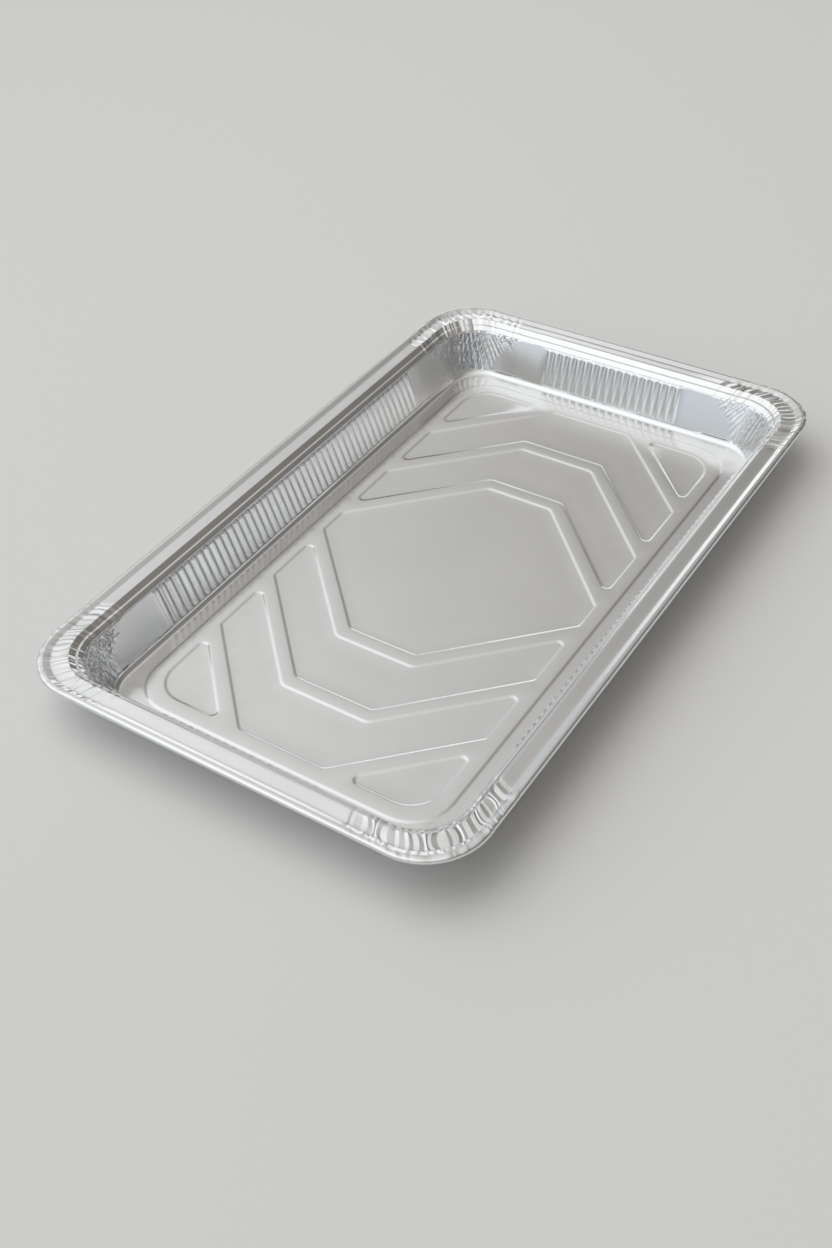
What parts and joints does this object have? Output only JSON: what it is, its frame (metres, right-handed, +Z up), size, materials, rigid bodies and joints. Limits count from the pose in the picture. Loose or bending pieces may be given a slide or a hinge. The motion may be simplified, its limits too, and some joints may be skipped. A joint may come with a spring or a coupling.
{
  "type": "foil tray",
  "caption": "Shallow rectangular aluminium foil tray with a curled rim, fluted sloping walls and a floor stiffened by raised ribs, for cooking, serving or freezing food",
  "frame": {"origin": "centre of the underside, on the surface the tray stands on", "axes": "X along the length, Y across the width, Z up; the front is -Y"},
  "size_m": [0.527, 0.328, 0.04],
  "materials": {
    "foil": "satin rolled foil, slightly brighter on the bends"
  },
  "bodies": {
    "root": {"tray": "foil"}
  },
  "joints": []
}
